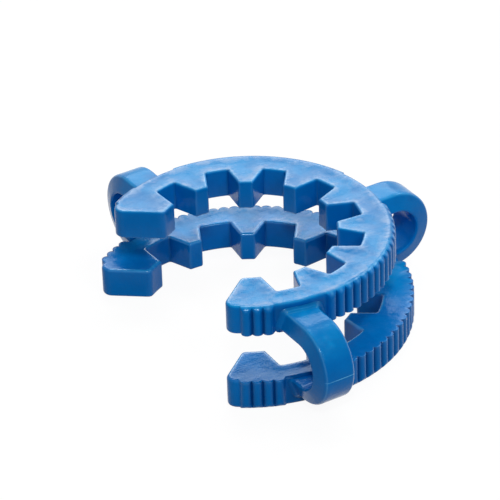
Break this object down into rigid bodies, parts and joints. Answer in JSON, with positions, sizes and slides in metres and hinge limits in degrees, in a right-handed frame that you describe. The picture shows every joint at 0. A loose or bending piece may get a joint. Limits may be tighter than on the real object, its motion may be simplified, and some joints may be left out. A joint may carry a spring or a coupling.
{
  "type": "ground glass joint clip",
  "caption": "Moulded plastic spring clip: toothed open rings joined by C-shaped loops, pushed on sideways to hold a tapered ground glass joint together.",
  "frame": {"origin": "on the axis of the bores, at the lower ring's bottom face", "axes": "+Z along the bores' axis, from the lower, wider ring to the upper one; the mouth opens towards -Y, the middle loop stands at +Y"},
  "size_m": [0.045, 0.033, 0.0114],
  "materials": {
    "blue_plastic": "satin"
  },
  "bodies": {
    "root": {"joint_clip": "blue_plastic"}
  },
  "joints": []
}
